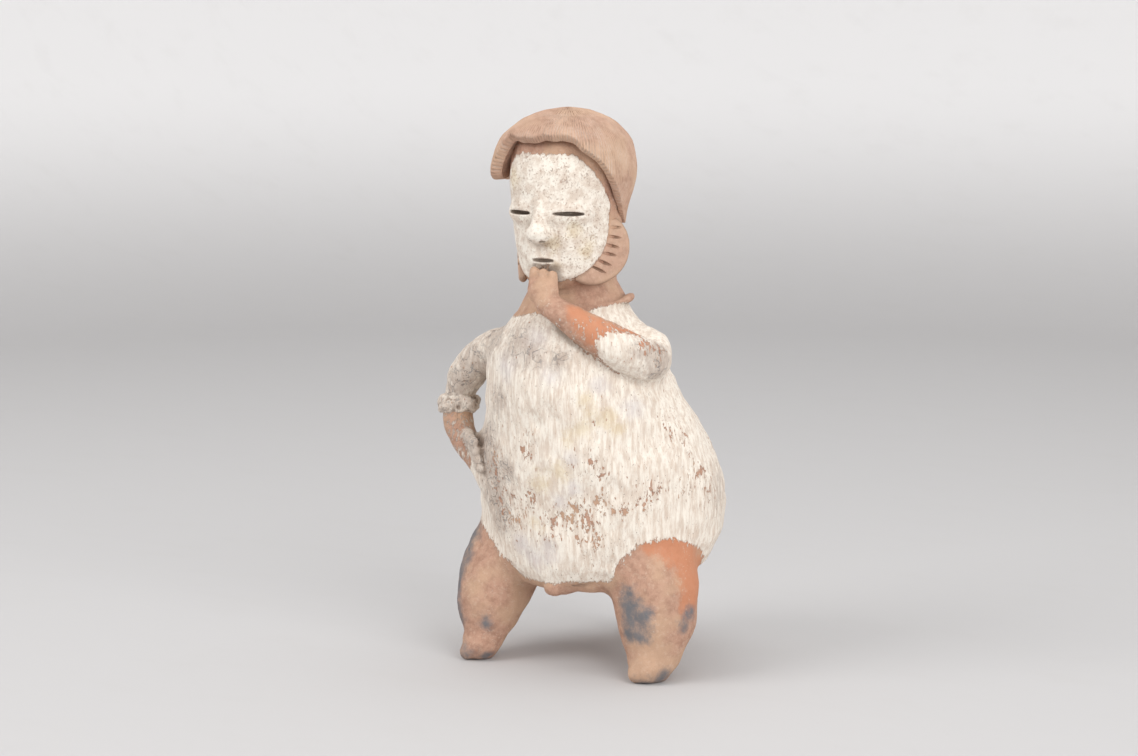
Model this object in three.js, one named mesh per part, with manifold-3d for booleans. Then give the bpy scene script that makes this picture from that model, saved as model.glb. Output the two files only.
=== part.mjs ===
// A pottery tomb figure of the kind made in west Mexico: a stout standing man with one hand raised to
// his chin and the other on his hip. It was built by hand and fired in one piece, so it is one solid.
// Units are millimetres. +Z is up, the figure faces -Y, and his left side is at +X.
import * as THREE from "three";
import { mergeVertices } from "three/addons/utils/BufferGeometryUtils.js";
import Module from "manifold-3d";

const wasm = await Module();
wasm.setup();

// Driving dimensions. While it is modelled, X and Y are measured from the neck's axis, and Z from
// the floor. NECK_AT is where that axis stands, measured from the middle of the finished figure.
const NECK_AT = [7.8, -26.2];

// Turned forms, in rings from the top down. A ring is its height, the X and Y of its middle, its
// half width, and how far it reaches forwards and back from that middle.
const BODY = [
  [301, 0, 0, 0, 0, 0],
  [297, 0, -1, 28, 28, 28],
  [286, 1, -1, 40, 38, 38],
  [273, 1, -1, 51, 49, 47],
  [252, 1.5, 0, 66.5, 60, 58],
  [222, 4, 5, 75, 68, 72],
  [194, 6.5, 15, 85.5, 74, 85],
  [166, 7, 22, 97, 79, 90],
  [138, 8, 28, 100, 80, 93],
  [110, 8, 29, 98, 79, 91],
  [85, 7, 26, 87, 72, 80],
  [67, 6, 22, 62, 56, 60],
  [59, 6, 20, 0, 0, 0],
];

const HEAD = [
  [427, 0, -10, 0, 0, 0],
  [424.8, 0, -10, 15.5, 15, 15.5],
  [419, 0, -10, 29.5, 28.5, 29],
  [407, 0, -11, 41.5, 40.5, 40],
  [388, 0, -12, 45, 43, 43],
  [360, 0, -11, 42.5, 42, 41],
  [332, 0, -10, 39.5, 41, 38],
  [310, 0, -10, 33, 38, 32],
  [300, 0, -12, 21, 28, 20],
  [296, 0, -13, 0, 0, 0],
];

const HEAD_MIDDLE = -11;

// Hair: a slab over the crown. It stands off the brow and temples between two bearings, in degrees
// from straight ahead, and its cut edge falls from the brow to the nape between two more.
// On his right it stops level in a flap over the temple before it falls.
const HAIR = {
  thick: 9,
  thin: 3,
  thinsOver: 40,
  standOff: 5,
  standsAhead: [50, 88],
  undercut: 14,
  brow: 409,
  nape: 350,
  falls: [28, 118],
  flap: 384,
  flapFalls: [28, 66, 96, 140],
};

// Ear ornaments: crescents against the sides of the jaw. Their rim follows a circle with a second
// one lower down, and the jaw's curve cuts them on the inside, where the notches begin.
const EAR = {
  at: [33.3, -20.8, 331],
  turn: 61,
  thick: 9,
  radius: 26,
  lower: { at: [-9, -5], radius: 23 },
  jaw: { at: [-38.5, 17.5], radius: 42.5 },
  notch: { count: 7, from: [6, 2], to: [-47, -24], long: 13, wide: 2.4, deep: 3 },
};

// Face, in parts of the head's own height: a wedge nose and slits for eyes between their lids.
const FACE = {
  front: -52,
  brow: 0.44,
  eye: 0.53,
  noseEnd: 0.68,
  nose: { out: 9, radii: [4, 7.5], wings: [11, 8, 6] },
  lid: { aside: 20, y: -45, size: [15, 5, 6.5] },
  slit: { y: -48, size: [24, 14, 2.6] },
  turn: 26,
};

// Limbs: points along the middle of each, and the half thickness there.
const NECK = { path: [[0, 0, 325], [0, 0, 300], [0, 1, 280]], radii: [33, 33.5, 39] };

const LEFT_LEG = {
  path: [[63, 2, 100], [71, -3, 76], [76, -8.5, 50], [78.5, -16, 26], [78, -20, 17]],
  radii: [29, 34.5, 30.5, 21.5, 18],
};

const RIGHT_LEG = {
  path: [[-55, 4, 98], [-62.5, -1.5, 74], [-69, -10, 48], [-69.5, -17.5, 24], [-71, -22, 15]],
  radii: [26, 32, 28, 17.5, 15.5],
};

// The rear prop makes a tripod with the feet, because most of the belly hangs behind them.
const PROP = { path: [[8, 70, 96], [8, 94, 64], [8, 104, 36], [8, 108, 13]], radii: [30, 22, 17, 14] };

const LEFT_ARM = {
  path: [
    [36, 2, 247], [62, 2, 253], [73.5, -14, 247], [60.5, -37, 256.5],
    [41, -50, 270], [19, -58, 284], [8.5, -60, 291],
  ],
  radii: [13, 15.5, 16, 16.5, 13.5, 11.5, 9.5],
};

const HAND = {
  at: [4.5, -57, 299],
  size: [12.5, 9, 11.5],
  fingers: { count: 3, first: -8.5, apart: 7.8, from: [1, 2], to: [3, 15], radii: [5, 4.4] },
};

const HIP_HAND = {
  from: [-90, -11, 178],
  to: [-70, -34, 176],
  fingers: 4,
  shift: 2,
  apart: 6.5,
  radii: [5, 4],
};

const RIGHT_ARM = {
  path: [
    [-36, 0, 243], [-62, 0, 249], [-80, 0, 240], [-93, 1, 229],
    [-105, 4, 207], [-101.5, -3, 182], [-78.5, -15.5, 158], [-66, -22, 146],
  ],
  radii: [14, 15, 16, 16, 12, 11.5, 9, 7],
};

const ARMBAND = { at: [-106.5, 2.5, 198.5], radius: 9.5, thick: 7.5, high: 9.5, tilt: -4 };

const NUB = { path: [[7, -20, 81], [8, -29, 72]], radii: [12, 9.5] };

// How many faces go round each kind of form.
const ROUND = { body: 42, head: 36, limb: 14, finger: 8 };

// The soles are rubbed flat by this much.
const SOLE_WEAR = 1.5;

function solid(geometry) {
  const bare = geometry.clone();
  bare.deleteAttribute("normal");
  bare.deleteAttribute("uv");
  const merged = mergeVertices(bare, 1e-4);
  return new wasm.Manifold(
    new wasm.Mesh({
      numProp: 3,
      vertProperties: new Float32Array(merged.attributes.position.array),
      triVerts: new Uint32Array(merged.index.array),
    }),
  );
}

function reshaped(geometry, place) {
  const position = geometry.attributes.position;
  const point = new THREE.Vector3();
  for (let i = 0; i < position.count; i += 1) {
    point.fromBufferAttribute(position, i);
    place(point);
    position.setXYZ(i, point.x, point.y, point.z);
  }
  return geometry;
}

// The point of a turned form at a share of the way down its rings, at an angle about its axis.
function turned(rings) {
  const vector = (...values) => new THREE.Vector3(...values);
  const middles = new THREE.CatmullRomCurve3(rings.map(([z, x, y]) => vector(x, y, z)));
  const reaches = new THREE.CatmullRomCurve3(rings.map((ring) => vector(...ring.slice(3))));
  const at = (down, angle) => {
    const [wide, fore, aft] = reaches.getPoint(down).toArray();
    const reach = Math.sin(angle) < 0 ? fore : aft;
    const out = new THREE.Vector3(wide * Math.cos(angle), reach * Math.sin(angle), 0);
    return out.add(middles.getPoint(down));
  };
  const outward = (down, angle) => {
    const near = THREE.MathUtils.clamp(down, 0.03, 0.97);
    const along = at(near + 0.01, angle).sub(at(near - 0.01, angle));
    const round = at(near, angle + 0.02).sub(at(near, angle - 0.02));
    return round.cross(along).normalize().negate();
  };
  return { at, outward };
}

// The skin of a turned form, moved outwards by a grow function of the point.
function skin(form, around, rings, grow = () => 0) {
  return reshaped(new THREE.SphereGeometry(1, around, rings), (p) => {
    const down = Math.acos(THREE.MathUtils.clamp(p.y, -1, 1)) / Math.PI;
    const end = down < 1e-4 || down > 1 - 1e-4;
    const angle = end ? 0 : Math.atan2(-p.z, p.x);
    const point = form.at(down, angle);
    const out = end ? new THREE.Vector3(0, 0, down < 0.5 ? 1 : -1) : form.outward(down, angle);
    p.copy(point).addScaledVector(out, grow(point));
  });
}

// How far round from straight ahead a point stands, in degrees, on either side.
function bearing(point) {
  return THREE.MathUtils.radToDeg(Math.atan2(Math.abs(point.x), HEAD_MIDDLE - point.y));
}

// A round-ended limb along a smooth path.
function limb({ path, radii }, around = ROUND.limb, along = 10, caps = 4) {
  const curve = new THREE.CatmullRomCurve3(path.map((p) => new THREE.Vector3(...p)));
  const sizes = new THREE.CatmullRomCurve3(radii.map((r) => new THREE.Vector3(r, 0, 0)));
  const frames = curve.computeFrenetFrames(200, false);
  return reshaped(new THREE.CapsuleGeometry(1, 1, caps, around, along), (p) => {
    const share = THREE.MathUtils.clamp(0.5 - p.y, 0, 1);
    const beyond = Math.max(Math.abs(p.y) - 0.5, 0) * Math.sign(-p.y);
    const step = Math.round(share * 200);
    const radius = sizes.getPoint(curve.getUtoTmapping(share)).x;
    const { x, z } = p;
    p.copy(curve.getPointAt(share))
      .addScaledVector(frames.tangents[step], beyond * radius)
      .addScaledVector(frames.normals[step], x * radius)
      .addScaledVector(frames.binormals[step], z * radius);
  });
}

function lump(at, size, around = 12, rings = 8) {
  return new THREE.SphereGeometry(1, around, rings).scale(...size).translate(...at);
}

function joined(geometries) {
  return geometries.map(solid).reduce((all, next) => all.add(next));
}

const headForm = turned(HEAD);

// The height of the hair's cut edge round from a point's bearing.
function edgeHeight(point) {
  const { smoothstep, lerp } = THREE.MathUtils;
  const degrees = bearing(point);
  if (point.x > 0) return lerp(HAIR.brow, HAIR.nape, smoothstep(degrees, ...HAIR.falls));
  const [start, level, leave, end] = HAIR.flapFalls;
  const flap = lerp(HAIR.brow, HAIR.flap, smoothstep(degrees, start, level));
  return lerp(flap, HAIR.nape, smoothstep(degrees, leave, end));
}

function hair() {
  const { smoothstep, lerp } = THREE.MathUtils;
  const ahead = (p) => 1 - smoothstep(bearing(p), ...HAIR.standsAhead);
  const above = (p, top) => smoothstep(p.z, edgeHeight(p), top);
  const flare = (p) => HAIR.standOff * ahead(p) * (1 - above(p, HEAD[0][0]));
  const stand = (p) => HAIR.standOff * ahead(p) * (1 - above(p, edgeHeight(p) + HAIR.undercut));
  const thick = (p) => {
    const low = 1 - smoothstep(p.z, HAIR.nape, HAIR.nape + HAIR.thinsOver);
    return lerp(HAIR.thick, HAIR.thin, low * (1 - ahead(p)));
  };
  const slab = solid(skin(headForm, ROUND.head, 18, (p) => thick(p) + flare(p)));
  const hollow = solid(skin(headForm, ROUND.head, 14, (p) => stand(p) - 1));
  return slab.intersect(solid(aboveEdge())).subtract(hollow);
}

// All the room above the hair's cut edge, as a drum whose floor follows that edge.
function aboveEdge() {
  const [inner, outer, top] = [12, 90, HEAD[0][0] + 40];
  const profile = [[0, 0], [inner, 0], [outer, 0], [outer, 1], [0, 1]];
  const drum = new THREE.LatheGeometry(profile.map(([x, y]) => new THREE.Vector2(x, y)), 48);
  return reshaped(drum, (p) => {
    const isTop = p.y > 0.5;
    const isMiddle = Math.hypot(p.x, p.z) < 1;
    p.set(p.x, HEAD_MIDDLE - p.z, 0);
    p.z = isTop ? top : isMiddle ? HAIR.flap : edgeHeight(p);
  });
}

function disc({ at, radius }, thick) {
  return new THREE.CylinderGeometry(radius, radius, thick, 34).rotateX(Math.PI / 2).translate(...at, 0);
}

function earOrnament(side) {
  const { degToRad, lerp } = THREE.MathUtils;
  const { count, from, to, long, wide, deep } = EAR.notch;
  const upper = { at: [0, 0], radius: EAR.radius };
  let plate = joined([disc(upper, EAR.thick), disc(EAR.lower, EAR.thick)]);
  plate = plate.subtract(solid(disc(EAR.jaw, EAR.thick * 2)));
  for (let i = 0; i < count; i += 1) {
    const [start, slant] = [0, 1].map((n) => degToRad(lerp(from[n], to[n], i / (count - 1))));
    const cut = new THREE.BoxGeometry(long, wide, deep * 2).translate(long / 2 - 1, 0, EAR.thick / 2);
    cut.rotateZ(slant).translate(EAR.jaw.at[0], EAR.jaw.at[1], 0);
    cut.translate(EAR.jaw.radius * Math.cos(start), EAR.jaw.radius * Math.sin(start), 0);
    plate = plate.subtract(solid(cut));
  }
  plate = plate.rotate([90, 0, 0]).rotate([0, 0, EAR.turn]).translate(EAR.at);
  return side > 0 ? plate : plate.scale([-1, 1, 1]);
}

// A height on the face, by its share of the way from the crown to the chin.
function faceHeight(share) {
  return THREE.MathUtils.lerp(HEAD[0][0], HEAD.at(-1)[0], share);
}

// The face follows common drawing shares, not any one person.
function nose() {
  const { out, radii, wings } = FACE.nose;
  const end = faceHeight(FACE.noseEnd) + 4;
  const path = [[0, FACE.front + 4, faceHeight(FACE.brow)], [0, FACE.front - out, end]];
  const bridge = limb({ path, radii }, 10, 3, 3);
  return joined([bridge, lump([0, FACE.front + 1, end], wings)]);
}

function eyeParts({ y, aside = FACE.lid.aside }, make) {
  return joined([-1, 1].map((side) => {
    const part = make().rotateZ(THREE.MathUtils.degToRad(side * FACE.turn));
    return part.translate(side * aside, y, faceHeight(FACE.eye));
  }));
}

function hand() {
  const [x, y, z] = HAND.at;
  const { count, first, apart, from, to, radii } = HAND.fingers;
  const fingers = Array.from({ length: count }, (_, i) => {
    const across = x + first + i * apart;
    const path = [[across, y + from[0], z + from[1]], [across - 1, y + to[0], z + to[1]]];
    return limb({ path, radii }, ROUND.finger, 2, 3);
  });
  return joined([lump(HAND.at, HAND.size), ...fingers]);
}

function hipHand() {
  const { from, to, fingers, shift, apart, radii } = HIP_HAND;
  return joined(Array.from({ length: fingers }, (_, i) => {
    const path = [from, to].map(([x, y, z]) => [x + i * shift, y, z - i * apart]);
    return limb({ path, radii }, ROUND.finger, 2, 3);
  }));
}

function armband() {
  const { at, radius, thick, high, tilt } = ARMBAND;
  const section = new THREE.Shape();
  section.absellipse(radius, 0, thick, high, 0, Math.PI * 2);
  const points = section.getPoints(4).slice(0, -1);
  points.push(points[0].clone());
  const ring = new THREE.LatheGeometry(points.map((p) => new THREE.Vector2(Math.max(p.x, 0.5), p.y)), 20);
  ring.rotateX(Math.PI / 2).rotateY(THREE.MathUtils.degToRad(tilt));
  return solid(ring.translate(...at));
}

let figure = joined([
  skin(turned(BODY), ROUND.body, 25),
  skin(headForm, ROUND.head, 18),
  limb(NECK, 28, 4, 2),
  limb(LEFT_LEG, 18, 9, 4),
  limb(RIGHT_LEG, 18, 9, 4),
  limb(PROP, 16, 7, 4),
  limb(LEFT_ARM, ROUND.limb, 14),
  limb(RIGHT_ARM, ROUND.limb, 14),
  limb(NUB, 14, 3, 4),
]);
figure = figure.add(eyeParts(FACE.lid, () => lump([0, 0, 0], FACE.lid.size)));
figure = figure.subtract(eyeParts(FACE.slit, () => new THREE.BoxGeometry(...FACE.slit.size)));
for (const part of [hair(), earOrnament(1), earOrnament(-1), nose(), hand(), hipHand(), armband()]) {
  figure = figure.add(part);
}

const worn = new THREE.BoxGeometry(600, 600, 60).translate(0, 0, SOLE_WEAR - 30);
figure = figure.subtract(solid(worn));

const made = figure.getMesh();
const geometry = new THREE.BufferGeometry();
geometry.setAttribute("position", new THREE.BufferAttribute(made.vertProperties, 3));
geometry.setIndex(new THREE.BufferAttribute(made.triVerts, 1));
geometry.translate(...NECK_AT, -SOLE_WEAR);

const mesh = new THREE.Mesh(geometry, new THREE.MeshStandardMaterial({ color: 0xd8cfc2, roughness: 0.85 }));
mesh.name = "figure";
const group = new THREE.Group();
group.add(mesh);
export default group;
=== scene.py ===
import math

import bpy
import numpy as np
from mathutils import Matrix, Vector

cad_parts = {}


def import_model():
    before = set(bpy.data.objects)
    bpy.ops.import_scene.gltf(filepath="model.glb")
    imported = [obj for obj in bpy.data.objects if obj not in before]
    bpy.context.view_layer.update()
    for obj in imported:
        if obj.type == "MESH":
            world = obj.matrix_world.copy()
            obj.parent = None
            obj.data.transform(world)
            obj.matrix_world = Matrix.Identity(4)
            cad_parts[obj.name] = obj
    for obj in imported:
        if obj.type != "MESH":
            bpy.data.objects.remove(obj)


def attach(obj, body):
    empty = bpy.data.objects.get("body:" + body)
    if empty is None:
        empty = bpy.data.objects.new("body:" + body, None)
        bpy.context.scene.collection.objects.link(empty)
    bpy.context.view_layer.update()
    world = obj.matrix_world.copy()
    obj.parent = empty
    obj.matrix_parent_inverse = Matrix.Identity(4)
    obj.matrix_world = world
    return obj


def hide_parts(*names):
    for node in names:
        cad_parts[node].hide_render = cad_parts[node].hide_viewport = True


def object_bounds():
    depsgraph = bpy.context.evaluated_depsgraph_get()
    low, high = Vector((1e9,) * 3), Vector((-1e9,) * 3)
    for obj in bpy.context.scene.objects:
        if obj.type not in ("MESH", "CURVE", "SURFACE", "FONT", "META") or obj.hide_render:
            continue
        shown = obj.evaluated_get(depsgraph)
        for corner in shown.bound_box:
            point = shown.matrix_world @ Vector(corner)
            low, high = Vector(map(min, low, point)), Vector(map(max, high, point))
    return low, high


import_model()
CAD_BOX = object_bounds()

import openvdb as vdb
from mathutils import Matrix, Vector

bl_info = {
    "name": "Pottery Tomb Figure",
    "version": (1, 0, 0),
    "blender": (4, 5, 0),
    "location": "3D View > Sidebar > Tomb Figure",
    "description": "Builds a hollow pottery tomb figure in worn slip, with combed hair and notched ear ornaments",
    "category": "Object",
}

# The figure is modelled in millimetres, as in the CAD source: X and Y from the neck's axis, Z from
# the floor before the soles were rubbed flat. It faces -Y and its left side is at +X.
NECK_AT = (7.8, -26.2)
SOLE_WEAR = 1.5
MM = 0.001

# Turned forms, in rings from the top down. A ring is its height, the X and Y of its middle, its
# half width, and how far it reaches forwards and back from that middle.
BODY = [
    (301, 0, 0, 0, 0, 0),
    (297, 0, -1, 28, 28, 28),
    (286, 1, -1, 40, 38, 38),
    (273, 1, -1, 51, 49, 47),
    (252, 1.5, 0, 66.5, 60, 58),
    (222, 4, 5, 75, 68, 72),
    (194, 6.5, 15, 85.5, 74, 85),
    (166, 7, 22, 97, 79, 90),
    (138, 8, 28, 100, 80, 93),
    (110, 8, 29, 98, 79, 91),
    (85, 7, 26, 87, 72, 80),
    (67, 6, 22, 62, 56, 60),
    (59, 6, 20, 0, 0, 0),
]
HEAD = [
    (427, 0, -10, 0, 0, 0),
    (424.8, 0, -10, 15.5, 15, 15.5),
    (419, 0, -10, 29.5, 28.5, 29),
    (407, 0, -11, 41.5, 40.5, 40),
    (388, 0, -12, 45, 43, 43),
    (360, 0, -11, 42.5, 42, 41),
    (332, 0, -10, 39.5, 41, 38),
    (310, 0, -10, 33, 38, 32),
    (300, 0, -12, 21, 28, 20),
    (296, 0, -13, 0, 0, 0),
]
HEAD_MIDDLE = -11
HEAD_TOP = HEAD[0][0]
CHIN = HEAD[-1][0]

# Limbs: points along the middle of each, and the half thickness there.
NECK = ([(0, 0, 325), (0, 0, 300), (0, 1, 280)], [33, 33.5, 39])
LEFT_LEG = ([(63, 2, 100), (71, -3, 76), (76, -8.5, 50), (78.5, -16, 26), (78, -20, 17)], [29, 34.5, 30.5, 21.5, 18])
RIGHT_LEG = ([(-55, 4, 98), (-62.5, -1.5, 74), (-69, -10, 48), (-69.5, -17.5, 24), (-71, -22, 15)], [26, 32, 28, 17.5, 15.5])
PROP = ([(8, 70, 96), (8, 94, 64), (8, 104, 36), (8, 108, 13)], [30, 22, 17, 14])
LEFT_ARM = (
    [(36, 2, 247), (62, 2, 253), (73.5, -14, 247), (60.5, -37, 256.5), (41, -50, 270), (19, -58, 284), (8.5, -60, 291)],
    [13, 15.5, 16, 16.5, 13.5, 11.5, 9.5],
)
RIGHT_ARM = (
    [(-36, 0, 243), (-62, 0, 249), (-80, 0, 240), (-93, 1, 229), (-105, 4, 207), (-101.5, -3, 182),
     (-78.5, -15.5, 158), (-66, -22, 146)],
    [14, 15, 16, 16, 12, 11.5, 9, 7],
)
NUB = ([(7, -20, 81), (8, -29, 72)], [12, 9.5])
NUB_TIP = ((1, -36, 68), (7, 6, 6))
TOES = [((71, -34, 9), (6.5, 6, 7)), ((79, -33, 13), (9, 7, 10)), ((-78, -34, 8), (6, 6, 6)), ((-69, -33, 11), (7, 6, 7))]
NECK_RIDGE = ([(41, 16, 291), (43, 2, 290), (38, -17, 287), (28, -32, 283), (17, -40, 279)], [2.2, 2.6, 2.6, 2.2, 1.6])
BELLY_CREASE = ([(18, -37, 74), (30, -36.5, 73), (42, -35, 72.5), (53, -34, 74)], [0.8, 1.4, 1.6, 1.0])

# The raised hand, and the fingers of the hand on the hip.
PALM = (4.5, -57, 299)
PALM_SIZE = (12.5, 9, 11.5)
FINGER = {"count": 3, "first": -8.5, "apart": 7.8, "long": 15, "radii": (5, 4.4)}
HIP_FINGER = {"count": 4, "shift": 2, "apart": 6.5, "radii": (5, 4), "from": (-90, -11, 178), "to": (-70, -34, 176)}

# Hair: a slab over the crown. Its cut edge falls from the brow to the nape between two bearings, in
# degrees from straight ahead. On the figure's right it stops level in a flap before it falls.
HAIR_THICK = 9
HAIR_THIN = 3
STAND_OFF = 5
UNDERCUT = 14
BROW_EDGE = 409
NAPE_EDGE = 350
EDGE_FALLS = (28, 118)
FLAP_EDGE = 384
FLAP_FALLS = (28, 66, 96, 140)
STANDS_AHEAD = (50, 88)

# Ear ornaments: crescents whose rim follows one circle with a second lower down, cut on the inside
# by the jaw's curve. The notches begin on that curve and lean more the lower they are, in degrees.
EAR_AT = (33.3, -20.8, 331)
EAR_TURN = 61
EAR_LOWER = (-9, -5)
EAR_JAW = (-38.5, 17.5)
EAR_JAW_RADIUS = 42.5
NOTCH_PLACES = (6, -47)
NOTCH_SLANTS = (2, -24)
NOTCH_SLOPE = 0.14

BAND_AT = (-106.5, 2.5, 198.5)
BAND_TILT = -4
# Crumbs on the side of the arm band next to the body: the place of each, and its size.
BAND_LUMPS = [((14, -6, 2), (5, 5, 5)), ((16, -2, -2), (4, 5, 4)), ((13, 4, 3), (5, 5, 5))]

# The arm band's finish, by the same marks as the figure's.
BAND_MARKS = {"slip": 5, "face": 0, "red": 0, "smoke": 0.1, "worn": 0.35, "stain": 0.1, "wash": 0.2, "dull": 0.75}

# What the camera aims at, from the neck's axis and the floor.
AIM = (-3.5, -1.9, 227.0)

# The face follows common drawing shares of the head's height, not any one person.
BROW_SHARE = 0.44
EYE_SHARE = 0.53
NOSE_SHARE = 0.68
MOUTH_SHARE = 0.80


def smoothstep(value, low, high):
    share = np.clip((np.asarray(value, float) - low) / (high - low), 0, 1)
    return share * share * (3 - 2 * share)


def lerp(start, end, share):
    return start + (end - start) * share


def curve_through(points, count):
    """Points along the smooth centripetal curve through the given ones, evenly spaced in its parameter."""
    p = np.asarray(points, float)
    p = np.vstack([2 * p[0] - p[1], p, 2 * p[-1] - p[-2]])
    gaps = np.sqrt(np.linalg.norm(np.diff(p, axis=0), axis=1)).clip(1e-4)
    place = np.linspace(0, len(points) - 1, count)
    i = np.minimum(place.astype(int), len(points) - 2)
    share = (place - i)[:, None]
    a, b, c, d = p[i], p[i + 1], p[i + 2], p[i + 3]
    g0, g1, g2 = (gaps[i + n][:, None] for n in range(3))
    leave = ((b - a) / g0 - (c - a) / (g0 + g1) + (c - b) / g1) * g1
    arrive = ((c - b) / g1 - (d - b) / (g1 + g2) + (d - c) / g2) * g1
    return (
        b
        + leave * share
        + (3 * (c - b) - 2 * leave - arrive) * share**2
        + (2 * (b - c) + leave + arrive) * share**3
    )


class Turned:
    """A turned form. Its distance comes from a table of distances to its outline."""

    SAMPLES = 320
    CELL = 1.0
    ROOM = 26

    def __init__(self, rings):
        rings = np.array(rings, float)
        self.middle = curve_through(rings[:, [1, 2, 0]], self.SAMPLES)
        self.reach = curve_through(rings[:, 3:], self.SAMPLES).clip(0)
        self.height = self.middle[::-1, 2]
        safe = self.reach.clip(1e-3)
        inner = slice(3, -3)
        rise = self.middle[inner][::-1, 2]
        ratio = (safe[:, :1] / safe[:, 1:])[inner][::-1]
        self.ratio = (rise, ratio[:, 0], ratio[:, 1])
        self.low = self.middle.min(0) - self.reach.max() - self.ROOM
        self.high = self.middle.max(0) + self.reach.max() + self.ROOM
        self.low[2], self.high[2] = self.height[0] - self.ROOM, self.height[-1] + self.ROOM
        self._tabulate()

    def _tabulate(self):
        across = np.arange(0, self.reach[:, 0].max() + 40, self.CELL)
        up = np.arange(self.low[2], self.high[2] + self.CELL, self.CELL)
        q, z = (a[..., None] for a in np.meshgrid(across, up, indexing="ij"))
        line = np.stack([self.reach[:, 0], self.middle[:, 2]], 1)
        start, along = line[:-1], np.diff(line, axis=0)
        size = (along**2).sum(1).clip(1e-9)
        share = (((q - start[:, 0]) * along[:, 0] + (z - start[:, 1]) * along[:, 1]) / size).clip(0, 1)
        away = np.hypot(q - start[:, 0] - share * along[:, 0], z - start[:, 1] - share * along[:, 1]).min(-1)
        wide = np.interp(up, self.height, self.reach[::-1, 0], left=-1, right=-1)
        self.table = np.where(across[:, None] < wide, -away, away)

    def distance(self, p):
        x, y, z = p.T
        dx = x - np.interp(z, self.height, self.middle[::-1, 0])
        dy = y - np.interp(z, self.height, self.middle[::-1, 1])
        rise, fore, aft = self.ratio
        squeeze = np.where(dy < 0, np.interp(z, rise, fore), np.interp(z, rise, aft))
        q = np.hypot(dx, dy * squeeze) / self.CELL
        h = (z - self.low[2]) / self.CELL
        i = np.clip(q.astype(int), 0, self.table.shape[0] - 2)
        j = np.clip(h.astype(int), 0, self.table.shape[1] - 2)
        u = np.clip(q - i, 0, 1)
        v = np.clip(h - j, 0, 1)
        t = self.table
        near = t[i, j] * (1 - u) + t[i + 1, j] * u
        far = t[i, j + 1] * (1 - u) + t[i + 1, j + 1] * u
        return near * (1 - v) + far * v

    def at(self, down, angle):
        """The point of the surface at a share of the way down, at an angle about the axis."""
        place = np.asarray(down) * (self.SAMPLES - 1)
        sample = np.arange(self.SAMPLES)
        middle = np.stack([np.interp(place, sample, self.middle[:, i]) for i in range(3)], -1)
        wide, fore, aft = (np.interp(place, sample, self.reach[:, i]) for i in range(3))
        reach = np.where(np.sin(angle) < 0, fore, aft)
        return middle + np.stack([wide * np.cos(angle), reach * np.sin(angle), 0 * place], -1)

    def outward(self, down, angle):
        near = np.clip(down, 0.02, 0.98)
        along = self.at(near + 0.01, angle) - self.at(near - 0.01, angle)
        about = self.at(near, angle + 0.02) - self.at(near, angle - 0.02)
        out = np.cross(along, about)
        return out / np.linalg.norm(out, axis=-1, keepdims=True)


class Limb:
    """A round-ended limb along a smooth path."""

    PIECES = 24
    ROOM = 20

    def __init__(self, shape):
        path, radii = shape
        count = self.PIECES + 1 if len(path) > 2 else 2
        self.spine = curve_through(path, count)
        self.radii = curve_through(np.array(radii, float)[:, None], count)[:, 0]
        self.low = (self.spine - self.radii[:, None]).min(0) - self.ROOM
        self.high = (self.spine + self.radii[:, None]).max(0) + self.ROOM

    def distance(self, p):
        nearest = np.full(len(p), np.inf)
        for a, b, thick, thin in zip(self.spine, self.spine[1:], self.radii, self.radii[1:]):
            run = b - a
            share = np.clip((p - a) @ run / (run @ run), 0, 1)
            away = np.linalg.norm(p - a - share[:, None] * run, axis=1) - lerp(thick, thin, share)
            nearest = np.minimum(nearest, away)
        return nearest


class Lump:
    """An ellipsoid, turned about the vertical by some degrees."""

    ROOM = 12

    def __init__(self, at, size, turn=0):
        self.middle = np.array(at, float)
        self.size = np.array(size, float)
        self.axes = turned_axes(turn)
        self.low = self.middle - self.size.max() - self.ROOM
        self.high = self.middle + self.size.max() + self.ROOM

    def distance(self, p):
        near = (p - self.middle) @ self.axes.T / self.size
        one = np.linalg.norm(near, axis=1).clip(1e-6)
        two = np.linalg.norm(near / self.size, axis=1).clip(1e-6)
        return one * (one - 1) / two


def turned_axes(degrees):
    """The X, Y and Z axes, as rows, of something turned about the vertical."""
    c, s = math.cos(math.radians(degrees)), math.sin(math.radians(degrees))
    return np.array([(c, s, 0), (-s, c, 0), (0, 0, 1)])


def soft_union(a, b, blend):
    near = np.clip(blend - np.abs(a - b), 0, None)
    return np.minimum(a, b) - near * near / (4 * blend)


class Clay:
    """Forms worked together one after another, with a blend width at each join."""

    FAR = 30.0

    def __init__(self, low, high):
        self.steps = []
        self.low, self.high = low, high

    def add(self, form, blend=4.0):
        """Joins a form on. The blend may be a number or a function of the points."""
        self.steps.append((form, blend, 1))

    def cut(self, form, blend=1.0):
        self.steps.append((form, blend, -1))

    def distance(self, p):
        total = np.full(len(p), self.FAR)
        for form, blend, sign in self.steps:
            near = np.flatnonzero(((p > form.low) & (p < form.high)).all(1))
            if len(near) == 0:
                continue
            q = p[near]
            width = blend(q) if callable(blend) else blend
            total[near] = sign * soft_union(sign * total[near], form.distance(q), width)
        return total

    def slope(self, p, step=0.35):
        """The direction in which the distance grows."""
        grown = [self.distance(p + step * axis) - self.distance(p - step * axis) for axis in np.eye(3)]
        return np.stack(grown, 1) / (2 * step)


# Only the blocks of cells that lie near the surface are worked out in full.
BLOCK = 6


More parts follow.
